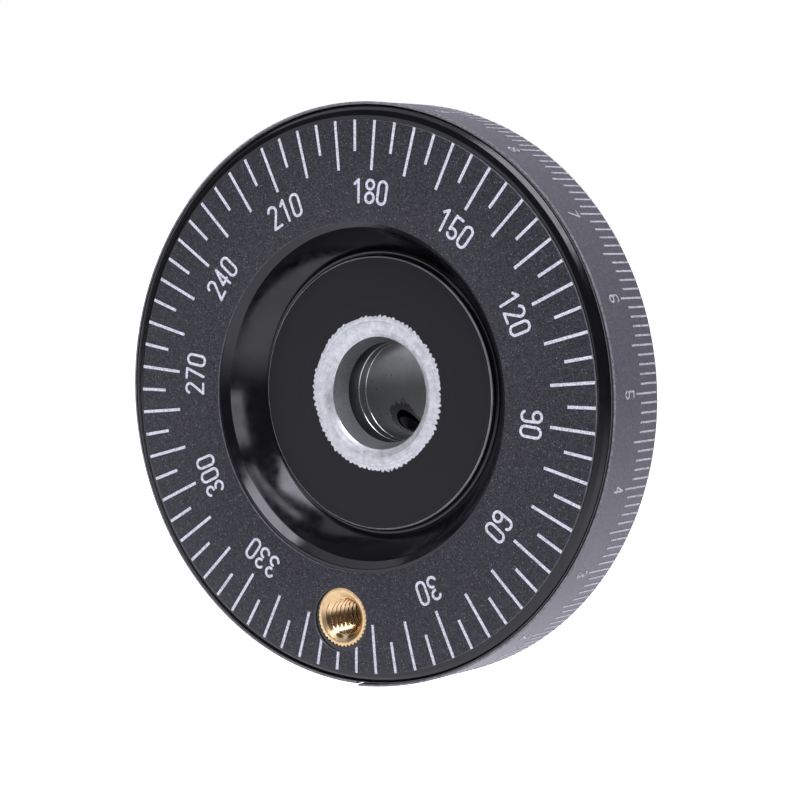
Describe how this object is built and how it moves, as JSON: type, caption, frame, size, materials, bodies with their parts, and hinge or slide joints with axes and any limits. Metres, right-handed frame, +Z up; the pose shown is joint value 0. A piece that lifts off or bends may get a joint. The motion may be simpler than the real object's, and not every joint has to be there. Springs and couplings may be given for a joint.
{
  "type": "graduated handwheel",
  "caption": "Round moulded handwheel with a degree dial, a graduated rim band, a plain hub bore locked by a set screw, and a threaded hole for a crank handle.",
  "frame": {"origin": "on the shaft bore's axis, in the hub's rear face", "axes": "+Y along the shaft bore, out of the hub's rear face; the dial faces -Y; +Z up, with 180 at the top of the dial and the handle insert at the bottom"},
  "size_m": [0.08, 0.028, 0.08],
  "materials": {
    "moulded_plastic": "glossy black moulding with a turned satin hub face",
    "zinc_plated_steel": "zinc plated, turned face",
    "brass": "turned and knurled",
    "black_steel": "black oxide",
    "dial_film": "fine grained charcoal film",
    "band_film": "fine grained charcoal film",
    "adhesive": "clear adhesive film",
    "white_print": "screen printed ink"
  },
  "bodies": {
    "wheel": {"wheel_body": "moulded_plastic", "hub_bush": "zinc_plated_steel", "handle_insert": "brass", "dial_plate": "dial_film", "dial_adhesive": "adhesive", "rim_scale_band": "band_film", "rim_band_adhesive": "adhesive", "dial_graduations": "white_print", "dial_numerals": "white_print", "rim_graduations": "white_print", "rim_numerals": "white_print"},
    "screw": {"set_screw": "black_steel"}
  },
  "joints": [
    {"name": "set_screw_travel", "type": "slide", "parent": "wheel", "child": "screw", "axis": [-0.5736, 0, -0.8192], "range_m": [-0.0002, 0.01]}
  ]
}
